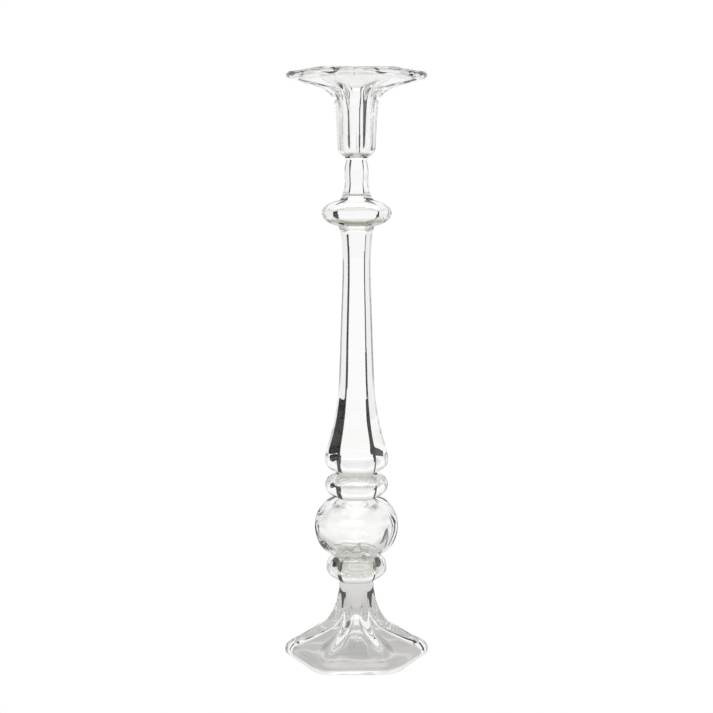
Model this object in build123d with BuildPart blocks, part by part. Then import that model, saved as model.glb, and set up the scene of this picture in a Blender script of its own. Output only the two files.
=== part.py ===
from build123d import *

import os
from math import cos, pi, radians, sin

# A tall six-sided glass candlestick, in millimetres.
#
# It stands on z = 0 with its axis on Z. Each member of the stem was shaped on its own and stuck hot to the
# next, so each one is a solid of its own, and they meet face to face at the narrow seams between them. Every
# cross-section is a hexagon with rounded corners, two of them on the X axis, and flat faces to the front and
# back. A section's reach is how far it goes from the axis to a corner.

os.makedirs("parts", exist_ok=True)

# Heights of the seams, from the foot up
FOOT_TOP = 66
BALL_BOTTOM = 88.5
BALL_TOP = 140.2
SHAFT_BOTTOM = 161.5
SHAFT_TOP = 373
NECK_BOTTOM = 394.5
WAFER_BOTTOM = 426.5
WAFER_TOP = 430.5
RIM_TOP = 500

# Reach of the sections at the seams
FOOT_TOP_REACH = 14.6
BALL_BOTTOM_REACH = 20
BALL_TOP_REACH = 18.6
SHAFT_BOTTOM_REACH = 16
SHAFT_TOP_REACH = 15.6
NECK_BOTTOM_REACH = 15.1
WAFER_BOTTOM_REACH = 8.8
WAFER_TOP_REACH = 10.3

# The widest level of each swelling member, and its reach there
LOWER_KNOP_MIDDLE = 77.5
LOWER_KNOP_REACH = 26.2
BALL_MIDDLE = 115
BALL_REACH = 36.1
RING_MIDDLE = 151.8
RING_REACH = 27.2
SHAFT_LIP_MIDDLE = 173.5
SHAFT_LIP_REACH = 27.3
COLLAR_MIDDLE = 384
COLLAR_REACH = 29.4

# Foot and rim
FOOT_REACH = 62.5
FOOT_HOLLOW_REACH = 55.5
FOOT_HOLLOW_TOP = 35
RIM_REACH = 58.7

# Candle bore, for a 22 mm (7/8 inch) taper
BORE_RADIUS = 11.4
BORE_FLOOR = 433.5
BORE_TOP = 470
MOUTH_REACH = 12.8  # the funnel's flat sides start just clear of the bore

# Ball hollow, and the point of glass that stands up into it
BALL_WALL = 3.6
BALL_HOLLOW_TOP = 135.8
BALL_HOLLOW_BOTTOM = 92.5
BALL_HOLE_RADIUS = 8
POINT_TOP = 98
POINT_TIP_RADIUS = 1

# How far the hexagons' corners are rounded, as a share of the hexagon's radius
CRISP = 0.25
SOFT = 0.4
BALL_ROUNDING = 0.7

SEAM_ANGLE = 76  # how far round its arc a swelling member is where it meets a seam
ARC_STEPS = 5


def hexagons(stations, rounding):
    """Faces of rounded hexagons, one for each (height, reach)."""
    faces = []
    for height, reach in stations:
        radius = reach / (1 - rounding * (1 / cos(pi / 6) - 1))
        with BuildSketch(Plane.XY.offset(height)) as section:
            RegularPolygon(radius=radius, side_count=6)
            fillet(section.vertices(), radius=rounding * radius)
        faces.append(section.sketch.face())
    return faces


def quarter(middle, belly, end, end_reach):
    """Stations on an arc that leaves the widest level upright and curls in to a seam."""
    share = cos(radians(SEAM_ANGLE))
    core = (end_reach - belly * share) / (1 - share)
    stations = []
    for step in range(1, ARC_STEPS + 1):
        angle = radians(SEAM_ANGLE * step / ARC_STEPS)
        height = middle + (end - middle) * sin(angle) / sin(radians(SEAM_ANGLE))
        stations.append((height, core + (belly - core) * cos(angle)))
    return stations


def swelling(bottom, bottom_reach, middle, belly, top, top_reach):
    """Stations of a rounded ring, from the seam below it to the seam above it."""
    lower = quarter(middle, belly, bottom, bottom_reach)
    upper = quarter(middle, belly, top, top_reach)
    return lower[::-1] + [(middle, belly)] + upper


with BuildPart() as foot:
    outside = [
        (0, FOOT_REACH - 1.5),
        (1.5, FOOT_REACH - 0.2),
        (4.5, FOOT_REACH),
        (7.5, FOOT_REACH - 1.5),
        (10, 58),
        (14, 50.7),
        (20, 40),
        (26, 29.6),
        (33, 23.4),
        (43, 18.5),
        (54, 15.8),
        (FOOT_TOP, FOOT_TOP_REACH),
    ]
    loft(hexagons(outside, SOFT))
    hollow = [
        (0, FOOT_HOLLOW_REACH),
        (4, FOOT_HOLLOW_REACH - 2),
        (8, 49),
        (13, 40),
        (18.5, 28.5),
        (23.5, 19.3),
        (29, 13),
        (FOOT_HOLLOW_TOP, 5),
    ]
    loft(hexagons(hollow, SOFT), mode=Mode.SUBTRACT)
foot.part.label = "foot"
export_step(foot.part, "parts/foot.step")

with BuildPart() as lower_knop:
    outside = swelling(FOOT_TOP, FOOT_TOP_REACH, LOWER_KNOP_MIDDLE, LOWER_KNOP_REACH,
                       BALL_BOTTOM, BALL_BOTTOM_REACH)
    loft(hexagons(outside, SOFT))
    with Locations((0, 0, BALL_BOTTOM)):
        Cone(BALL_HOLE_RADIUS, POINT_TIP_RADIUS, POINT_TOP - BALL_BOTTOM,
             align=(Align.CENTER, Align.CENTER, Align.MIN))
lower_knop.part.label = "lower_knop"
export_step(lower_knop.part, "parts/lower_knop.step")

with BuildPart() as ball_knop:
    outside = swelling(BALL_BOTTOM, BALL_BOTTOM_REACH, BALL_MIDDLE, BALL_REACH,
                       BALL_TOP, BALL_TOP_REACH)
    loft(hexagons(outside, BALL_ROUNDING))
    hollow = swelling(BALL_HOLLOW_BOTTOM, BALL_BOTTOM_REACH - BALL_WALL, BALL_MIDDLE,
                      BALL_REACH - BALL_WALL, BALL_HOLLOW_TOP, BALL_TOP_REACH - BALL_WALL)
    loft(hexagons(hollow, BALL_ROUNDING), mode=Mode.SUBTRACT)
    with Locations((0, 0, BALL_BOTTOM)):
        Cylinder(BALL_HOLE_RADIUS, BALL_MIDDLE - BALL_BOTTOM,
                 align=(Align.CENTER, Align.CENTER, Align.MIN), mode=Mode.SUBTRACT)
ball_knop.part.label = "ball_knop"
export_step(ball_knop.part, "parts/ball_knop.step")

with BuildPart() as ring_knop:
    outside = swelling(BALL_TOP, BALL_TOP_REACH, RING_MIDDLE, RING_REACH,
                       SHAFT_BOTTOM, SHAFT_BOTTOM_REACH)
    loft(hexagons(outside, SOFT))
ring_knop.part.label = "ring_knop"
export_step(ring_knop.part, "parts/ring_knop.step")

with BuildPart() as baluster_shaft:
    lip = quarter(SHAFT_LIP_MIDDLE, SHAFT_LIP_REACH, SHAFT_BOTTOM, SHAFT_BOTTOM_REACH)[::-1]
    taper = [
        (SHAFT_LIP_MIDDLE, SHAFT_LIP_REACH),
        (181, 25.9),
        (190, 22.5),
        (207, 18.8),
        (226, 16.3),
        (268, 14),
        (305, 12.7),
        (345, 11.8),
        (361, 12.6),
        (369, 13.9),
        (SHAFT_TOP, SHAFT_TOP_REACH),
    ]
    loft(hexagons(lip + taper, CRISP))
baluster_shaft.part.label = "baluster_shaft"
export_step(baluster_shaft.part, "parts/baluster_shaft.step")

with BuildPart() as upper_collar:
    outside = swelling(SHAFT_TOP, SHAFT_TOP_REACH, COLLAR_MIDDLE, COLLAR_REACH,
                       NECK_BOTTOM, NECK_BOTTOM_REACH)
    loft(hexagons(outside, SOFT))
upper_collar.part.label = "upper_collar"
export_step(upper_collar.part, "parts/upper_collar.step")

with BuildPart() as neck:
    outside = [
        (NECK_BOTTOM, NECK_BOTTOM_REACH),
        (397, 12.8),
        (401, 11.2),
        (408, 9.8),
        (416, 10.1),
        (422, 9.8),
        (WAFER_BOTTOM, WAFER_BOTTOM_REACH),
    ]
    loft(hexagons(outside, CRISP))
neck.part.label = "neck"
export_step(neck.part, "parts/neck.step")

with BuildPart() as wafer:
    outside = [
        (WAFER_BOTTOM, WAFER_BOTTOM_REACH),
        (428.2, 8.5),
        (WAFER_TOP, WAFER_TOP_REACH),
    ]
    loft(hexagons(outside, SOFT))
wafer.part.label = "wafer"
export_step(wafer.part, "parts/wafer.step")

with BuildPart() as candle_socket:
    outside = [
        (WAFER_TOP, WAFER_TOP_REACH),
        (432.5, 13),
        (435.5, 15.4),
        (440, 16.1),
        (455, 16.7),
        (472, 17.9),
        (478, 19.4),
        (483, 23.2),
        (487, 30),
        (490, 40),
        (492.5, 49.5),
        (494.5, 56),
        (496.5, RIM_REACH - 0.3),
        (498.5, RIM_REACH - 0.2),
        (RIM_TOP, RIM_REACH - 1.7),
    ]
    loft(hexagons(outside, SOFT))
    funnel = [
        (BORE_TOP, MOUTH_REACH),
        (477, 14.2),
        (483, 18),
        (488.5, 26),
        (493.5, 39),
        (497, 49),
        (RIM_TOP, RIM_REACH - 3.2),
    ]
    loft(hexagons(funnel, SOFT), mode=Mode.SUBTRACT)
    with Locations((0, 0, BORE_FLOOR)):
        Cylinder(BORE_RADIUS, BORE_TOP - BORE_FLOOR,
                 align=(Align.CENTER, Align.CENTER, Align.MIN), mode=Mode.SUBTRACT)
candle_socket.part.label = "candle_socket"
export_step(candle_socket.part, "parts/candle_socket.step")
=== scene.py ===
"""The looks of the tall six-sided glass candlestick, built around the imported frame, in metres.

Every member of the stem is a closed mesh of its own, turned from an outline whose cross-sections are
hexagons with rounded corners. The members were stuck together hot, so light crosses from one to the next
without bending: the faces where two members meet carry a fully clear finish in place of glass.
"""

from math import cos, pi, radians, sin

import bmesh
import bpy
import numpy as np
from mathutils import Euler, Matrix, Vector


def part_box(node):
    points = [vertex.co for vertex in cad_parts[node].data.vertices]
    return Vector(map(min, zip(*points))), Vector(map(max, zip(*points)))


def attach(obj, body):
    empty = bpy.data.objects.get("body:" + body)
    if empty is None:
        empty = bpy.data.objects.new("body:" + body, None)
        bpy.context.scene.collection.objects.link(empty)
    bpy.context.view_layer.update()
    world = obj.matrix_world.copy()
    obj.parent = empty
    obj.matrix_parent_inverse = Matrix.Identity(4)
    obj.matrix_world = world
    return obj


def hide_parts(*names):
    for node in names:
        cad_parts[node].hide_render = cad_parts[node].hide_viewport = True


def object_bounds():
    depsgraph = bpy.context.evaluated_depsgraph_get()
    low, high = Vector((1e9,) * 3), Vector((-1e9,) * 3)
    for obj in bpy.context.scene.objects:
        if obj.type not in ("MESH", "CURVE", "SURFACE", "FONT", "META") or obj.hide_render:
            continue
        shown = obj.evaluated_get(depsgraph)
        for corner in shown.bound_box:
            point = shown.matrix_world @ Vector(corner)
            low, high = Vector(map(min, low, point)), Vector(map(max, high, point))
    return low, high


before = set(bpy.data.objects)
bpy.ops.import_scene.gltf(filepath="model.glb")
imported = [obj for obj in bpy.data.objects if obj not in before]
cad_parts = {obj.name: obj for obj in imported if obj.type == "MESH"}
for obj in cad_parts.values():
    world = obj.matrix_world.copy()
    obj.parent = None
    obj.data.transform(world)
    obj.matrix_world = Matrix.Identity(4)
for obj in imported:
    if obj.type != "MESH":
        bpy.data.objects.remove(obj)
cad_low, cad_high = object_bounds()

MM = 0.001
HEIGHT = cad_high.z - cad_low.z

# Corner rounding, as a share of the hexagon's radius
CRISP = 0.25
SHAFT_CRISP = 0.32
SOFT = 0.4
BALL_ROUNDING = 0.7
ROUND = cos(pi / 6)  # rounds the hexagon off to a circle
CORNER_LOSS = 1 / cos(pi / 6) - 1
RIDGE_POWER = 6  # how sharply a ridge stands out from the flats beside it

# Mesh density
CORNER_STEPS = 14
FLAT_STEPS = 14
ARC_STEPS = 28
ROW_LENGTH = 0.7 * MM
FINE_ROW_LENGTH = 0.3 * MM

SEAM_ANGLE = radians(76)  # how far round its arc a swelling member meets its seam
CAP_INNER = 0.3  # where a seam's flat ring starts, as a share of its reach
WAVES = 10  # how many waves the hand-worked surface has
WAVE = 0.035 * MM  # how far each of them moves it
BORE_SHARE = 0.1942  # the candle bore's radius, as a share of the rim's reach

# The hollow ball
BALL_MIDDLE = 0.513  # the level of its widest section, as a share of its height
BALL_WALL = 3.6 * MM
BALL_CROWN = 4.4 * MM  # the glass over the bubble
BALL_HOLE = 8 * MM
BUBBLE_TIP = 3 * MM
BUBBLE_LEAN = 1.6 * MM
POINT_LEAN = 4 * MM

# Where the glass is tinted: painted shade in dark green on the stem's undersides, and a lighter green on
# the rim
STEM_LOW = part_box("lower_knop")[0].z
STEM_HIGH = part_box("wafer")[1].z + 4 * MM
BALL_LOW, BALL_HIGH = (corner.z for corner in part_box("ball_knop"))
RIM_LOW = cad_high.z - 4.5 * MM

# The camera, placed from the object's height
CAMERA_DISTANCE = 2.148 * HEIGHT
CAMERA_LEVEL = 0.805 * HEIGHT
CAMERA_TILT = 0.13  # radians down
LENS = 64.06  # mm, for a 36 mm sensor
SENSOR = 36

# The studio, in metres. An azimuth here is in degrees to the right of straight behind the object
FLOOR_SIZE = 12
CARD_LIFT = 2 * MM
BACK_CARDS = 1.6  # how far away the upright cards stand
LAMP_TILT = radians(14)

# The azimuths where a dark side starts, is full, begins to fade and ends
TABLE_SIDES = (42, 50, 76, 86)
LEFT_SIDE = (-46, -57, -76, -86)
RIGHT_SIDE = (64, 74, 80, 90)

# Flat cards on the floor: the distance and azimuth of each corner
FLOOR_CARDS = {
    "card_right": ((0.17, 31), (0.17, 46), (0.7, 42), (1.2, 18)),
    "card_left": ((0.2, -20), (0.2, -37.5), (0.8, -37.5), (0.8, -12), (0.5, -10)),
    "card_right_far": ((1.0, 14), (0.75, 34), (1.6, 36), (1.6, 14)),
    "card_left_far": ((0.8, -37), (0.8, -18), (1.6, -18), (1.6, -38)),
    "card_right_near": ((0.068, 31), (0.068, 45), (0.13, 44), (0.13, 32)),
    "card_left_near": ((0.068, -45), (0.068, -31), (0.13, -32), (0.13, -44)),
}

# Upright cards at the back: the azimuths of their sides, and their height
UPRIGHT_CARDS = {
    "card_right_back": (16, 36, 0.7),
    "card_left_back": (-34, -25, 0.7),
    "card_right_low": (14, 16, 0.4),
    "card_left_low": (-25, -20, 0.36),
}

# The faces that a row of the outline makes
GLASS = 0
SEAM = 1


# ---------------------------------------------------------------- outlines

def smooth(points, spacing=ROW_LENGTH):
    """Evenly spaced points on the natural cubic spline through these points."""
    points = np.array(points, float)
    spans = np.linalg.norm(np.diff(points[:, :2], axis=0), axis=1)
    knots = np.r_[0, np.cumsum(spans)]
    count = len(points)
    system = np.eye(count)
    turn = np.zeros_like(points)
    for i in range(1, count - 1):
        system[i, i - 1:i + 2] = spans[i - 1], 2 * (spans[i - 1] + spans[i]), spans[i]
        turn[i] = 6 * ((points[i + 1] - points[i]) / spans[i]
                       - (points[i] - points[i - 1]) / spans[i - 1])
    bend = np.linalg.solve(system, turn)
    at = np.linspace(0, knots[-1], max(3, int(knots[-1] / spacing)) + 1)
    span = np.clip(np.searchsorted(knots, at, side="right") - 1, 0, count - 2)
    width = spans[span][:, None]
    after = (at - knots[span])[:, None]
    before = width - after
    return (bend[span] * before ** 3 / (6 * width) + bend[span + 1] * after ** 3 / (6 * width)
            + (points[span] / width - bend[span] * width / 6) * before
            + (points[span + 1] / width - bend[span + 1] * width / 6) * after)


def quarter(middle, belly, end, end_reach, rounding, end_rounding):
    """Points on an arc from the widest level of a swelling member in to its seam."""
    share = cos(SEAM_ANGLE)
    core = (end_reach - belly * share) / (1 - share)
    points = []
    for step in range(ARC_STEPS + 1):
        angle = SEAM_ANGLE * step / ARC_STEPS
        height = middle + (end - middle) * sin(angle) / sin(SEAM_ANGLE)
        blend = (step / ARC_STEPS) ** 2
        points.append((core + (belly - core) * cos(angle), height,
                       rounding + (end_rounding - rounding) * blend, 0))
    return np.array(points)


def shares(node, outline, rounding):
    """Outline points of a node, from shares of its height and reach.

    Each entry is (how far up, how far out) with, where the corners stand out as ridges, how far they do.
    """
    low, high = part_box(node)
    reach = (high.x - low.x) / 2
    points = []
    for up, out, *stands_out in outline:
        ridge = stands_out[0] * reach if stands_out else 0
        points.append((out * reach, low.z + up * (high.z - low.z), rounding, ridge))
    return points


def section(reach, height, rounding, ridge=0, lean=0):
    """A ring of points on a rounded hexagon, with two of its corners on the X axis.

    The corners reach as far as asked, and a ridge is the part of that by which they stand out.
    A lean moves the ring along X.
    """
    radius = (reach - ridge) / (1 - rounding * CORNER_LOSS)
    curve = rounding * radius
    offset = radius - curve / cos(pi / 6)
    ring = []
    for corner in range(6):
        facing = corner * pi / 3
        centre = offset * np.array((cos(facing), sin(facing)))
        turns = facing + np.linspace(-pi / 6, pi / 6, CORNER_STEPS + 1)
        arc = centre + curve * np.stack((np.cos(turns), np.sin(turns)), axis=1)
        facing += pi / 3
        next_centre = offset * np.array((cos(facing), sin(facing)))
        start = next_centre + curve * np.array((cos(facing - pi / 6), sin(facing - pi / 6)))
        along = np.linspace(0, 1, FLAT_STEPS + 1)[1:-1, None]
        ring += [arc, arc[-1] + (start - arc[-1]) * along]
    ring = np.concatenate(ring)
    away = np.arctan2(ring[:, 1], ring[:, 0])
    ring *= 1 + (ridge * np.cos(3 * away) ** RIDGE_POWER / np.linalg.norm(ring, axis=1))[:, None]
    return np.column_stack((ring + (lean, 0), np.full(len(ring), height)))


def hand_made(points):
    """Moves points a little, as glass shaped by hand is never quite true."""
    draw = np.random.RandomState(7)
    moved = np.zeros_like(points)
    for _ in range(WAVES):
        length = draw.uniform(24, 70) * MM
        facing = draw.normal(size=3)
        facing /= np.linalg.norm(facing)
        push = draw.normal(size=3) * (1, 1, 0.5)
        phase = draw.uniform(0, 2 * pi)
        moved += np.sin(points @ facing * 2 * pi / length + phase)[:, None] * push * WAVE
    reach = np.linalg.norm(points[:, :2], axis=1)[:, None]
    above = points[:, 2:3] - cad_low.z
    return points + moved * np.clip(reach / (20 * MM), 0.2, 1.5) * np.clip(above / (3 * MM), 0, 1)


def turned(name, stretches, materials):
    """A closed mesh whose outline runs from the axis, over the outside and back to the axis.

    Each stretch of the outline is (its points, the kind of face that its rows make).
    """
    rings, kinds = [], []
    for points, kind in stretches:
        shared = 1 if rings else 0  # a stretch starts on the last ring of the one before
        for point in points[shared:]:
            rings.append(section(*point))
            kinds.append(kind)
    del kinds[0]
    around = len(rings[0])
    start = rings[0].mean(axis=0)
    finish = rings[-1].mean(axis=0)
    places = hand_made(np.concatenate([start[None], *rings, finish[None]]))
    faces, face_kinds = [], []
    last = len(places) - 1
    for i in range(around):
        j = (i + 1) % around
        faces.append((0, 1 + j, 1 + i))
        face_kinds.append(stretches[0][1])
        faces.append((last, last - around + i, last - around + j))
        face_kinds.append(stretches[-1][1])
        for row, kind in enumerate(kinds):
            a, b = 1 + row * around, 1 + (row + 1) * around
            faces.append((a + i, a + j, b + j, b + i))
            face_kinds.append(kind)
    mesh = bpy.data.meshes.new(name)
    mesh.from_pydata(places.tolist(), [], faces)
    mesh.polygons.foreach_set("material_index", face_kinds)
    mesh.polygons.foreach_set("use_smooth", [True] * len(faces))
    work = bmesh.new()
    work.from_mesh(mesh)
    bmesh.ops.recalc_face_normals(work, faces=work.faces)
    for edge in work.edges:
        edge.smooth = len({face.material_index for face in edge.link_faces}) == 1
    work.to_mesh(mesh)
    work.free()
    for material in materials:
        mesh.materials.append(material)
    piece = bpy.data.objects.new(name, mesh)
    bpy.context.scene.collection.objects.link(piece)
    return piece


def crisp_between(outside, low, low_done, high_start, high, crisp=CRISP):
    """Makes the corners of an outline crisp between two levels, and soft towards its seams."""
    height = outside[:, 1]
    lower = np.clip((low_done - height) / (low_done - low), 0, 1)
    upper = np.clip((height - high_start) / (high - high_start), 0, 1)
    soft = np.maximum(lower, upper)
    outside[:, 2] = crisp + (SOFT - crisp) * soft ** 2 * (3 - 2 * soft)


def cap(reach, height, rounding):
    """A flat stretch from near the axis out to a seam's edge."""
    return [(CAP_INNER * reach, height, rounding, 0), (reach, height, rounding, 0)]


# ---------------------------------------------------------------- finishes

def new_material(name):
    """A new material, with its nodes and links."""
    material = bpy.data.materials.new(name)
    material.use_nodes = True
    return material, material.node_tree.nodes, material.node_tree.links


def add_math(nodes, links, operation, *values):
    """A maths node's output, fed with other outputs or plain numbers."""
    node = nodes.new("ShaderNodeMath")
    node.operation = operation
    for socket, value in zip(node.inputs, values):
        if isinstance(value, bpy.types.NodeSocket):
            links.new(value, socket)
        else:
            socket.default_value = value
    return node.outputs[0]


def add_range(nodes, links, value, start, end, to_start=0.0, to_end=1.0):
    """An output that goes evenly from one value to another as its input crosses a range."""
    node = nodes.new("ShaderNodeMapRange")
    links.new(value, node.inputs["Value"])
    for name, number in (("From Min", start), ("From Max", end), ("To Min", to_start),
                         ("To Max", to_end)):
        node.inputs[name].default_value = number
    return node.outputs["Result"]


def add_texture(nodes, links, kind, place, **settings):
    """A texture node's factor, at these coordinates and with these settings on its sockets."""
    texture = nodes.new(kind)
    links.new(place, texture.inputs["Vector"])
    for name, value in settings.items():
        texture.inputs[name.replace("_", " ")].default_value = value
    return texture.outputs["Fac"]


def add_mix(nodes, links, factor, first, second):
    """An output that goes from one colour to another with its factor."""
    node = nodes.new("ShaderNodeMix")
    node.data_type = "RGBA"
    links.new(factor, node.inputs["Factor"])
    for name, colour in (("A", first), ("B", second)):
        if isinstance(colour, bpy.types.NodeSocket):
            links.new(colour, node.inputs[name])
        else:
            node.inputs[name].default_value = (*colour, 1)
    return node.outputs["Result"]


def add_split(nodes, links, vector):
    """The X, Y and Z outputs of a vector."""
    node = nodes.new("ShaderNodeSeparateXYZ")
    links.new(vector, node.inputs[0])
    return node.outputs


def painted_shade_and_green(nodes, links, place):
    """How far the glass is tinted dark green: fully on the stem's undersides, as painted shade under each
    member in the green of the glass, and partly on the rim.
    """
    surface = nodes.new("ShaderNodeNewGeometry")
    normal = add_split(nodes, links, surface.outputs["Normal"])
    outward = add_range(nodes, links, surface.outputs["Backfacing"], 0, 1, 1, -1)
    facing_up = add_math(nodes, links, "MULTIPLY", normal["Z"], outward)
    height = add_split(nodes, links, place)["Z"]
    stem = add_math(nodes, links, "MULTIPLY",
                    add_range(nodes, links, height, STEM_LOW, STEM_LOW + MM),
                    add_range(nodes, links, height, STEM_HIGH, STEM_HIGH - MM))
    beside_ball = add_math(nodes, links, "MAXIMUM",
                           add_range(nodes, links, height, BALL_LOW + MM, BALL_LOW),
                           add_range(nodes, links, height, BALL_HIGH - MM, BALL_HIGH))
    stem = add_math(nodes, links, "MULTIPLY", stem, beside_ball)
    # painted shade: the stem's faces that turn downwards are darkened to dark green
    under = add_math(nodes, links, "MULTIPLY", stem, add_range(nodes, links, facing_up, -0.45, -0.9))
    rim = add_range(nodes, links, height, RIM_LOW, RIM_LOW + 2 * MM, 0, 0.4)
    return add_math(nodes, links, "MAXIMUM", under, rim)


def glass_finish():
    """Clear glass, faintly rippled and streaked where it was worked, with painted shade in dark green on
    the stem's undersides and a green tint on the rim.
    """
    material, nodes, links = new_material("clear_glass")
    shader = nodes["Principled BSDF"]
    shader.inputs["Transmission Weight"].default_value = 1
    shader.inputs["IOR"].default_value = 1.5
    shader.inputs["Roughness"].default_value = 0
    place = nodes.new("ShaderNodeTexCoord").outputs["Object"]
    cloud = add_texture(nodes, links, "ShaderNodeTexNoise", place, Scale=60)
    clear = add_mix(nodes, links, cloud, (0.978, 0.981, 0.972), (0.998, 0.999, 0.997))
    # the dark green on the stem's undersides is painted shade; on the rim it is a lighter green tint
    tinted = add_mix(nodes, links, painted_shade_and_green(nodes, links, place), clear, (0.24, 0.26, 0.18))
    links.new(tinted, shader.inputs["Base Color"])
    ripple = add_texture(nodes, links, "ShaderNodeTexNoise", place, Scale=70, Detail=0.5, Distortion=0.6)
    bump = nodes.new("ShaderNodeBump")
    bump.inputs["Strength"].default_value = 0.3
    bump.inputs["Distance"].default_value = 0.2 * MM
    links.new(ripple, bump.inputs["Height"])
    links.new(bump.outputs["Normal"], shader.inputs["Normal"])
    return material


def seam_finish():
    """The fused face between two members, which light crosses unchanged."""
    material = new_material("fused_seam")[0]
    material.node_tree.nodes["Principled BSDF"].inputs["Alpha"].default_value = 0
    return material


# ---------------------------------------------------------------- members

def seam_reach(node, top):
    """The reach of a CAD node's section at its top or bottom."""
    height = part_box(node)[1 if top else 0].z
    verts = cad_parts[node].data.vertices
    return max(v.co.x for v in verts if abs(v.co.z - height) < 0.01 * MM)


def swelling(node, middle_share, rounding):
    """The outside of a rounded ring, from its top seam down to its bottom seam."""
    low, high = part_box(node)
    belly = (high.x - low.x) / 2
    middle = low.z + middle_share * (high.z - low.z)
    upper = quarter(middle, belly, high.z, seam_reach(node, True), rounding, SOFT)
    lower = quarter(middle, belly, low.z, seam_reach(node, False), rounding, SOFT)
    return np.concatenate([upper[::-1], lower[1:]])


def solid(node, outside, materials):
    """A solid member between two seams."""
    return turned(node + "_glass", [
        (cap(*outside[0][:3]), SEAM),
        (outside, GLASS),
        (cap(*outside[-1][:3])[::-1], SEAM),
    ], materials)


def upper_collar(materials):
    """The solid ring at the top of the shaft."""
    return solid("upper_collar", swelling("upper_collar", 0.512, SOFT), materials)


def ring_knop(materials):
    """The solid ring between the shaft and the ball."""
    return solid("ring_knop", swelling("ring_knop", 0.545, SOFT), materials)


def baluster_shaft(materials):
    """The long shaft, which swells towards its lower end and curls in to its seam there."""
    node = "baluster_shaft"
    points = shares(node, [
        (1.0, 0.571), (0.985, 0.52), (0.943, 0.462), (0.868, 0.432), (0.678, 0.465),
        (0.504, 0.513), (0.305, 0.602), (0.215, 0.705), (0.135, 0.857), (0.08, 0.975),
        (0.055, 1.0)], CRISP)
    low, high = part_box(node)
    belly, middle = points[-1][:2]
    lip = quarter(middle, belly, low.z, seam_reach(node, False), CRISP, SOFT)
    outside = smooth(points + [tuple(point) for point in lip[4::4]])
    crisp_between(outside, low.z, low.z + 12 * MM, high.z - 25 * MM, high.z, SHAFT_CRISP)
    return solid(node, outside, materials)


def neck(materials):
    """The short stem under the candle cup."""
    points = shares("neck", [(1.0, 0.583), (0.859, 0.649), (0.672, 0.669), (0.422, 0.649),
                             (0.203, 0.742), (0.078, 0.848), (0.0, 1.0)], CRISP)
    outside = smooth(points)
    low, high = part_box("neck")
    crisp_between(outside, low.z, low.z + 10 * MM, high.z - 8 * MM, high.z)
    return solid("neck", outside, materials)


def wafer(materials):
    """The small disc that sticks the candle cup to the neck."""
    points = shares("wafer", [(1.0, 1.0), (0.425, 0.825), (0.0, 0.854)], SOFT)
    return solid("wafer", smooth(points, FINE_ROW_LENGTH), materials)


def candle_socket(materials):
    """The candle cup: up its outside, over the pan's rim, down the funnel and on into the bore."""
    node = "candle_socket"
    low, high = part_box(node)
    rise = high.z - low.z
    outside = smooth(shares(node, [
        (0.0, 0.175), (0.029, 0.221), (0.072, 0.262), (0.137, 0.274), (0.353, 0.284),
        (0.597, 0.305), (0.683, 0.33, 0.015), (0.755, 0.395, 0.06), (0.813, 0.511, 0.1),
        (0.856, 0.681, 0.12), (0.892, 0.843, 0.1), (0.921, 0.954, 0.07), (0.95, 0.995, 0.05),
        (0.978, 0.997, 0.04), (1.0, 0.971, 0.04), (0.99, 0.94, 0.04), (0.957, 0.835, 0.05),
        (0.906, 0.664, 0.04), (0.835, 0.443), (0.755, 0.3), (0.669, 0.226), (0.568, 0.196),
        (0.5, BORE_SHARE)], SOFT))
    inside_from = int(np.argmax(outside[:, 1]))
    crisp_between(outside[:inside_from], low.z, low.z + 0.15 * rise, low.z + 0.6 * rise,
                  low.z + 0.9 * rise)
    funnel = outside[inside_from:]
    funnel[:, 2] = np.interp(funnel[:, 1], [low.z + 0.55 * rise, low.z + 0.8 * rise], [ROUND, SOFT])
    bore = shares(node, [(0.5, BORE_SHARE), (0.06, BORE_SHARE), (0.045, 0.187), (0.042, 0.17),
                         (0.042, 0.05)], ROUND)
    return turned(node + "_glass", [
        (cap(*outside[0][:3]), SEAM),
        (outside, GLASS),
        (bore, GLASS),
    ], materials)


def ball_knop(materials):
    """A blown hollow ball, its bubble off to one side, so the wall is thin there and thick opposite."""
    node = "ball_knop"
    low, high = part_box(node)
    outside = swelling(node, BALL_MIDDLE, BALL_ROUNDING)
    belly = high.x - BALL_WALL
    middle = low.z + BALL_MIDDLE * (high.z - low.z)
    lower = quarter(middle, belly, low.z, BALL_HOLE, BALL_ROUNDING, ROUND)
    upper = quarter(middle, belly, high.z - BALL_CROWN, BUBBLE_TIP, BALL_ROUNDING, ROUND)
    inside = np.concatenate([lower[::-1], upper[1:]])
    lean = np.sin(np.clip((inside[:, 1] - low.z) / (high.z - low.z), 0, 1) * pi) * BUBBLE_LEAN
    return turned(node + "_glass", [
        (cap(*outside[0][:3]), SEAM),
        (outside, GLASS),
        ([tuple(outside[-1]), (BALL_HOLE, low.z, ROUND, 0)], SEAM),
        (np.column_stack((inside, -lean)), GLASS),
    ], materials)


def lower_knop(materials):
    """A solid cushion, with the leaning point of glass that stands up into the ball's bubble."""
    node = "lower_knop"
    low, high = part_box(node)
    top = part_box("ball_knop")[0].z
    belly = high.x
    middle = low.z + 0.511 * (top - low.z)
    upper = quarter(middle, belly, top, seam_reach("ball_knop", False), SOFT, SOFT)
    lower = quarter(middle, belly, low.z, seam_reach(node, False), SOFT, SOFT)
    outside = np.concatenate([upper[::-1], lower[1:]])
    rise = high.z - top
    slope = ((0.3 * MM, 0), (1.6 * MM, 0.12), (3 * MM, 0.5), (5 * MM, 0.8), (BALL_HOLE, 1))
    point = smooth([(reach, high.z - down * rise, ROUND, 0) for reach, down in slope], FINE_ROW_LENGTH)
    lean = (point[:, 1] - top) / rise * POINT_LEAN
    return turned(node + "_glass", [
        (np.column_stack((point, lean)), GLASS),
        ([(BALL_HOLE, top, ROUND, 0), tuple(outside[0])], SEAM),
        (outside, GLASS),
        (cap(*outside[-1][:3])[::-1], SEAM),
    ], materials)


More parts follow.
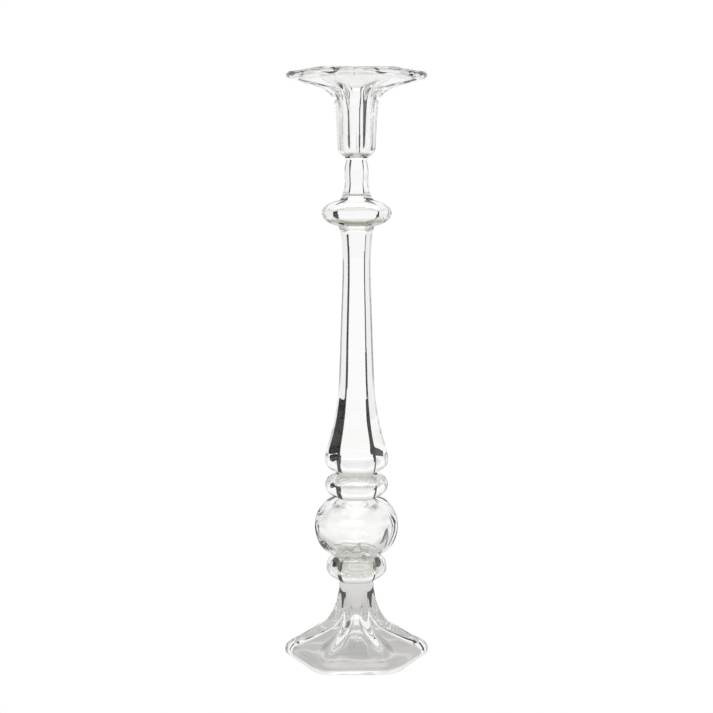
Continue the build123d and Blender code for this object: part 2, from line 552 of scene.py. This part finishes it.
def foot(materials):
    """The foot: down its outside, round its edge and up into its hollow."""
    node = "foot"
    outside = smooth(shares(node, [
        (1.0, 0.234), (0.818, 0.253), (0.652, 0.296, 0.03), (0.5, 0.374, 0.08),
        (0.394, 0.474, 0.11), (0.303, 0.64, 0.12), (0.212, 0.811, 0.09), (0.152, 0.928, 0.05),
        (0.114, 0.976, 0.03), (0.068, 1.0, 0.02), (0.023, 0.99, 0.02), (0.0, 0.955, 0.02),
        (0.0, 0.915, 0.02), (0.03, 0.87, 0.02), (0.075, 0.825, 0.02), (0.117, 0.735, 0.02),
        (0.186, 0.58, 0.02), (0.26, 0.42, 0.01), (0.335, 0.3), (0.41, 0.205), (0.475, 0.135),
        (0.52, 0.07), (0.53, 0.02)], SOFT))
    low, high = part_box(node)
    rise = high.z - low.z
    crisp_between(outside[:int(np.argmax(outside[:, 0]))], low.z + 0.1 * rise, low.z + 0.45 * rise,
                  low.z + 0.8 * rise, high.z)
    return turned(node + "_glass", [
        (cap(*outside[0][:3]), SEAM),
        (outside, GLASS),
    ], materials)


# ---------------------------------------------------------------- studio

def sheet(name, corners, material):
    """A flat piece of the studio, kept out of the part."""
    mesh = bpy.data.meshes.new(name)
    mesh.from_pydata([tuple(corner) for corner in corners], [], [range(len(corners))])
    mesh.materials.append(material)
    card = bpy.data.objects.new(name, mesh)
    bpy.context.scene.collection.objects.link(card)
    return card


def dark_side(nodes, links, across, away, azimuths):
    """1 where a direction's azimuth lies between the inner two of four, 0 outside the outer two."""
    azimuth = add_math(nodes, links, "ARCTAN2", across, away)
    start, full, fading, end = (radians(edge) for edge in azimuths)
    return add_math(nodes, links, "MULTIPLY", add_range(nodes, links, azimuth, start, full),
                    add_range(nodes, links, azimuth, end, fading))


def matt(name, shade):
    """A matt material of one grey, with its nodes and links."""
    material, nodes, links = new_material(name)
    shader = nodes["Principled BSDF"]
    shader.inputs["Base Color"].default_value = (shade, shade, shade, 1)
    shader.inputs["Roughness"].default_value = 1
    shader.inputs["Specular IOR Level"].default_value = 0
    return material, nodes, links


def table_light(nodes, links, place, away):
    """How bright the glass sees the table: shaded under the object, and far out to each side."""
    table = add_split(nodes, links, place)
    sideways = add_math(nodes, links, "ABSOLUTE", table["X"])
    side = dark_side(nodes, links, sideways, table["Y"], TABLE_SIDES)
    far = add_range(nodes, links, away, 0.7, 1.1)
    shade = add_math(nodes, links, "MULTIPLY", side, far)
    lit = add_range(nodes, links, shade, 0, 1, 1, 0.08)
    open_table = add_range(nodes, links, away, 0.03, 0.3, 0.46, 0.97)
    return add_math(nodes, links, "MULTIPLY", open_table, lit)


def light_threads(nodes, links, place, away):
    """Wavy threads of light, gathered by the foot on the table under it."""
    wave = add_texture(nodes, links, "ShaderNodeTexWave", place, Scale=11, Distortion=7, Detail=1,
                       Detail_Scale=1.4)
    wave.node.bands_direction = "Y"
    near = add_range(nodes, links, away, 0.03, 0.07, 0.22, 0)
    return add_math(nodes, links, "MULTIPLY", add_math(nodes, links, "POWER", wave, 5), near)


def floor():
    """A white table, pure white to the camera, and shaded as the glass sees it."""
    material, nodes, links = matt("white_table", 0)
    shader = nodes["Principled BSDF"]
    place = nodes.new("ShaderNodeTexCoord").outputs["Object"]
    distance = nodes.new("ShaderNodeVectorMath")
    distance.operation = "LENGTH"
    links.new(place, distance.inputs[0])
    away = distance.outputs["Value"]
    straight = nodes.new("ShaderNodeLightPath").outputs["Is Camera Ray"]
    seen = add_math(nodes, links, "ADD", table_light(nodes, links, place, away),
                    light_threads(nodes, links, place, away))
    links.new(add_math(nodes, links, "MAXIMUM", seen, straight), shader.inputs["Emission Strength"])
    whiter = add_math(nodes, links, "MAXIMUM", add_range(nodes, links, away, 0.08, 0.4), straight)
    colour = add_mix(nodes, links, whiter, (1, 0.985, 0.955), (1, 1, 1))
    links.new(colour, shader.inputs["Emission Color"])
    size = FLOOR_SIZE
    sheet("floor", [(-size, -size, 0), (size, -size, 0), (size, size, 0), (-size, size, 0)], material)


def only_for_glass(card):
    """Keeps a card out of the picture, so that it is seen only through or on the glass."""
    card.visible_camera = False
    card.visible_diffuse = False
    card.visible_shadow = False


def around(distance, azimuth, height):
    """A place at a distance from the axis, its azimuth in degrees to the right of straight behind."""
    return (distance * sin(radians(azimuth)), distance * cos(radians(azimuth)), height)


def dark_cards():
    """Black cards round the candlestick, which draw the dark lines of its edges."""
    black = matt("black_card", 0.002)[0]
    for name, corners in FLOOR_CARDS.items():
        only_for_glass(sheet(name, [around(*corner, CARD_LIFT) for corner in corners], black))
    for name, (left, right, top) in UPRIGHT_CARDS.items():
        corners = (left, 0), (right, 0), (right, top), (left, top)
        only_for_glass(sheet(name, [around(BACK_CARDS, *corner) for corner in corners], black))


def surround():
    """White all round, but for a dark stretch low on the left and a dim one low on the right.

    It brightens overhead to a soft light, and it is pure white to the camera.
    """
    world = bpy.data.worlds.new("surround")
    bpy.context.scene.world = world
    world.use_nodes = True
    nodes, links = world.node_tree.nodes, world.node_tree.links
    direction = nodes.new("ShaderNodeTexCoord").outputs["Generated"]
    facing = add_split(nodes, links, direction)
    left_side = dark_side(nodes, links, facing["X"], facing["Y"], LEFT_SIDE)
    right_side = dark_side(nodes, links, facing["X"], facing["Y"], RIGHT_SIDE)
    side = add_math(nodes, links, "ADD", add_math(nodes, links, "MULTIPLY", left_side, 0.97),
                    add_math(nodes, links, "MULTIPLY", right_side, 0.6))
    low = add_range(nodes, links, facing["Z"], sin(radians(24)), sin(radians(13)))
    shade = add_math(nodes, links, "MULTIPLY", side, low)
    room = add_range(nodes, links, shade, 0, 1, 0.94, 0)
    towards_lamp = nodes.new("ShaderNodeVectorMath")
    towards_lamp.operation = "DOT_PRODUCT"
    links.new(direction, towards_lamp.inputs[0])
    towards_lamp.inputs[1].default_value = (-0.03, -sin(LAMP_TILT), cos(LAMP_TILT))
    lamp = add_range(nodes, links, towards_lamp.outputs["Value"], cos(radians(30)), cos(radians(8)), 0, 3)
    straight = nodes.new("ShaderNodeLightPath").outputs["Is Camera Ray"]
    room = add_math(nodes, links, "ADD", room, lamp)
    strength = add_math(nodes, links, "MAXIMUM", room, straight)
    links.new(strength, nodes["Background"].inputs["Strength"])
    nodes["Background"].inputs["Color"].default_value = (1, 1, 1, 1)


def camera():
    """Level with the upper collar and looking slightly down."""
    data = bpy.data.cameras.new("camera")
    data.sensor_width = SENSOR
    data.lens = LENS
    data.clip_start = 0.05
    data.clip_end = 60
    eye = bpy.data.objects.new("camera", data)
    eye.location = (0, -CAMERA_DISTANCE, CAMERA_LEVEL)
    eye.rotation_euler = Euler((pi / 2 - CAMERA_TILT, 0, 0))
    bpy.context.scene.collection.objects.link(eye)
    bpy.context.scene.camera = eye


# ---------------------------------------------------------------- scene

camera()
surround()
floor()
dark_cards()

finishes = [glass_finish(), seam_finish()]
members = {
    "candle_socket": candle_socket,
    "wafer": wafer,
    "neck": neck,
    "upper_collar": upper_collar,
    "baluster_shaft": baluster_shaft,
    "ring_knop": ring_knop,
    "ball_knop": ball_knop,
    "lower_knop": lower_knop,
    "foot": foot,
}
for node, make in members.items():
    piece = make(finishes)
    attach(piece, "root")
    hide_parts(node)

scene = bpy.context.scene
scene.view_settings.view_transform = "Standard"
scene.cycles.max_bounces = 32
scene.cycles.transmission_bounces = 32
scene.cycles.glossy_bounces = 16
scene.cycles.transparent_max_bounces = 32
